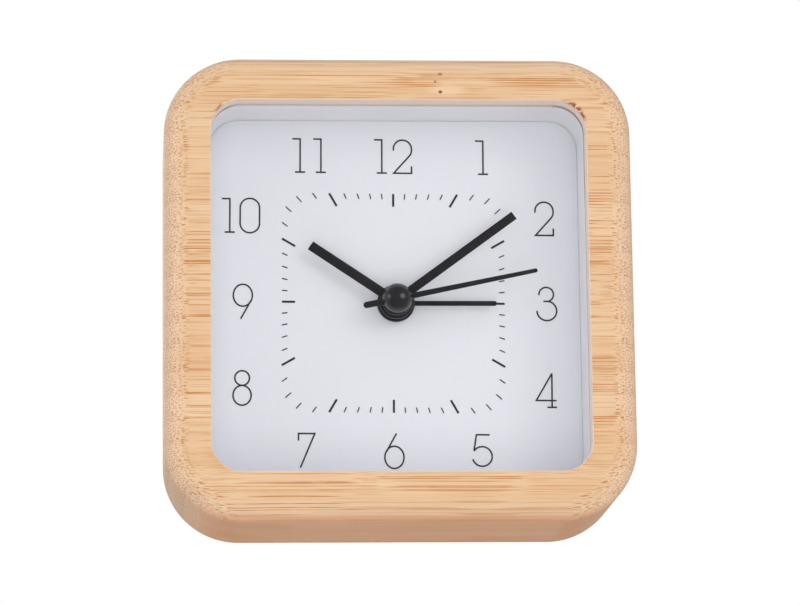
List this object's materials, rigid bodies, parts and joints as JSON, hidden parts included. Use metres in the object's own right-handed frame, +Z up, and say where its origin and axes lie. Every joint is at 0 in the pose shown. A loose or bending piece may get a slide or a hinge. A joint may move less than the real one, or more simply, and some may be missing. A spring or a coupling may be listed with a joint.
{
  "type": "desk alarm clock",
  "caption": "Square wooden desk alarm clock with rounded corners, a deep window, plain white dial, black hands, a quartz movement and recessed setting knobs behind.",
  "frame": {"origin": "middle of the flat underside", "axes": "+Z up, the dial faces -Y, +X is to the right of someone who reads the dial"},
  "size_m": [0.11, 0.046, 0.11],
  "materials": {
    "bamboo": "pale laminated bamboo, sanded and clear oiled, satin",
    "clear_lens": "clear and polished",
    "white_moulding": "white satin moulding",
    "white_card": "matt white sheet",
    "black_ink": "flat dark grey print",
    "black_hand": "matt black coated sheet",
    "black_cap": "satin black moulding",
    "grey_moulding": "dark grey moulding",
    "wheel_moulding": "natural acetal",
    "rotor_magnet": "sintered magnet on a steel arbor",
    "stator_steel": "annealed sheet steel",
    "copper_wire": "enamelled copper winding",
    "circuit_laminate": "green laminate",
    "black_resin": "black potting resin",
    "crystal_can": "bright plated can",
    "spring_brass": "rolled spring strip",
    "plated_contact": "nickel plated strip",
    "cell_jacket": "plain dark jacket",
    "black_cover": "fine textured black moulding",
    "black_knob": "satin black moulding",
    "screw_steel": "zinc plated",
    "buzzer_case": "black moulding"
  },
  "bodies": {
    "case": {"wooden_case": "bamboo", "window_lens": "clear_lens", "dial_tray": "white_moulding", "dial_face": "white_card", "minute_track": "black_ink", "hour_numerals": "black_ink", "movement_front_plate": "grey_moulding", "movement_centre_plate": "grey_moulding", "movement_housing": "grey_moulding", "motor_stator": "stator_steel", "coil_core": "stator_steel", "coil_bobbin": "wheel_moulding", "coil_winding": "copper_wire", "circuit_board": "circuit_laminate", "control_chip": "black_resin", "quartz_crystal": "crystal_can", "alarm_contact_leaf": "spring_brass", "battery": "cell_jacket", "battery_contact_positive": "plated_contact", "battery_contact_negative": "plated_contact", "rear_cover": "black_cover", "cover_screws": "screw_steel", "movement_screws": "screw_steel", "buzzer": "buzzer_case", "alarm_switch_base": "grey_moulding"},
    "hour_hand": {"hour_hand": "black_hand", "hour_wheel": "wheel_moulding"},
    "minute_hand": {"minute_hand": "black_hand", "cannon_pinion": "wheel_moulding"},
    "alarm_hand": {"alarm_hand": "black_hand", "alarm_wheel": "wheel_moulding"},
    "second_hand": {"second_hand": "black_hand", "second_hand_cap": "black_cap", "second_wheel": "wheel_moulding"},
    "centre_wheel": {"centre_wheel": "wheel_moulding"},
    "third_wheel": {"third_wheel": "wheel_moulding"},
    "intermediate_wheel": {"intermediate_wheel": "wheel_moulding"},
    "motor_rotor": {"motor_rotor": "rotor_magnet"},
    "time_setting": {"setting_wheel": "wheel_moulding", "time_set_knob": "black_knob"},
    "alarm_setting": {"alarm_pinion": "wheel_moulding", "alarm_set_knob": "black_knob"},
    "alarm_switch": {"alarm_switch_slider": "black_knob"},
    "battery_door": {"battery_door": "black_cover"}
  },
  "joints": [
    {"name": "minute_hand_turn", "type": "hinge", "parent": "case", "child": "minute_hand", "pos_m": [0, 0, 0.054], "axis": [0, 1, 0], "continuous": true},
    {"name": "hour_hand_turn", "type": "hinge", "parent": "case", "child": "hour_hand", "pos_m": [0, 0, 0.054], "axis": [0, 1, 0], "continuous": true},
    {"name": "time_setting_turn", "type": "hinge", "parent": "case", "child": "time_setting", "pos_m": [0.008, 0, 0.054], "axis": [0, 1, 0], "continuous": true},
    {"name": "second_hand_turn", "type": "hinge", "parent": "case", "child": "second_hand", "pos_m": [0, 0, 0.054], "axis": [0, 1, 0], "continuous": true},
    {"name": "third_wheel_turn", "type": "hinge", "parent": "case", "child": "third_wheel", "pos_m": [0, 0, 0.04754], "axis": [0, 1, 0], "continuous": true},
    {"name": "centre_wheel_turn", "type": "hinge", "parent": "case", "child": "centre_wheel", "pos_m": [0, 0, 0.054], "axis": [0, 1, 0], "continuous": true},
    {"name": "intermediate_wheel_turn", "type": "hinge", "parent": "case", "child": "intermediate_wheel", "pos_m": [0, 0, 0.06048], "axis": [0, 1, 0], "continuous": true},
    {"name": "motor_rotor_turn", "type": "hinge", "parent": "case", "child": "motor_rotor", "pos_m": [0, 0, 0.06496], "axis": [0, 1, 0], "continuous": true},
    {"name": "alarm_hand_turn", "type": "hinge", "parent": "case", "child": "alarm_hand", "pos_m": [0, 0, 0.054], "axis": [0, 1, 0], "continuous": true},
    {"name": "alarm_setting_turn", "type": "hinge", "parent": "case", "child": "alarm_setting", "pos_m": [-0.009, 0, 0.054], "axis": [0, 1, 0], "continuous": true},
    {"name": "alarm_switch_slide", "type": "slide", "parent": "case", "child": "alarm_switch", "axis": [1, 0, 0], "range_m": [0, 0.003]},
    {"name": "battery_door_off", "type": "slide", "parent": "case", "child": "battery_door", "axis": [0, 1, 0], "range_m": [0, 0.025]}
  ],
  "couplings": [
    {"joint": "hour_hand_turn", "follows": "minute_hand_turn", "ratio": 0.083333},
    {"joint": "time_setting_turn", "follows": "minute_hand_turn", "ratio": -0.33333},
    {"joint": "third_wheel_turn", "follows": "second_hand_turn", "ratio": -0.13333},
    {"joint": "centre_wheel_turn", "follows": "second_hand_turn", "ratio": 0.016667},
    {"joint": "intermediate_wheel_turn", "follows": "second_hand_turn", "ratio": -5},
    {"joint": "motor_rotor_turn", "follows": "second_hand_turn", "ratio": 30},
    {"joint": "alarm_setting_turn", "follows": "alarm_hand_turn", "ratio": -2}
  ]
}
